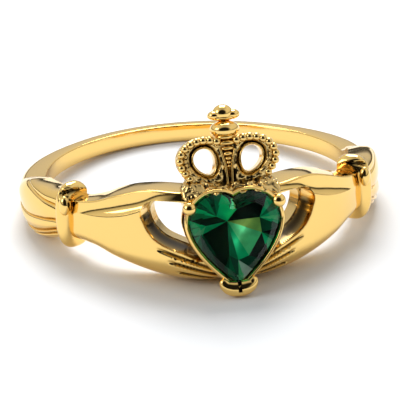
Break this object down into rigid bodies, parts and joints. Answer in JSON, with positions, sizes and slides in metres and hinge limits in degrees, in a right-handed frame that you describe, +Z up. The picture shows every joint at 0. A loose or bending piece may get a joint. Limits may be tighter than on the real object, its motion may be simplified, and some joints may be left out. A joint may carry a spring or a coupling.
{
  "type": "claddagh ring",
  "caption": "Finger ring whose band ends in two hands that hold a crowned, heart-shaped cut stone.",
  "frame": {"origin": "middle of the ring's footprint, on the surface it lies on", "axes": "+Z up from the surface, -Y towards the heart, +X across the ring. The ring lies on the lower edges of both hands and on the back of its band, so the finger axis leans back by about 7 degrees from +Z."},
  "size_m": [0.0206, 0.022, 0.0097],
  "materials": {
    "gold": "polished yellow gold, 14 karat",
    "green_stone": "clear green, faceted and polished"
  },
  "bodies": {
    "root": {"ring_body": "gold", "heart_stone": "green_stone"}
  },
  "joints": []
}
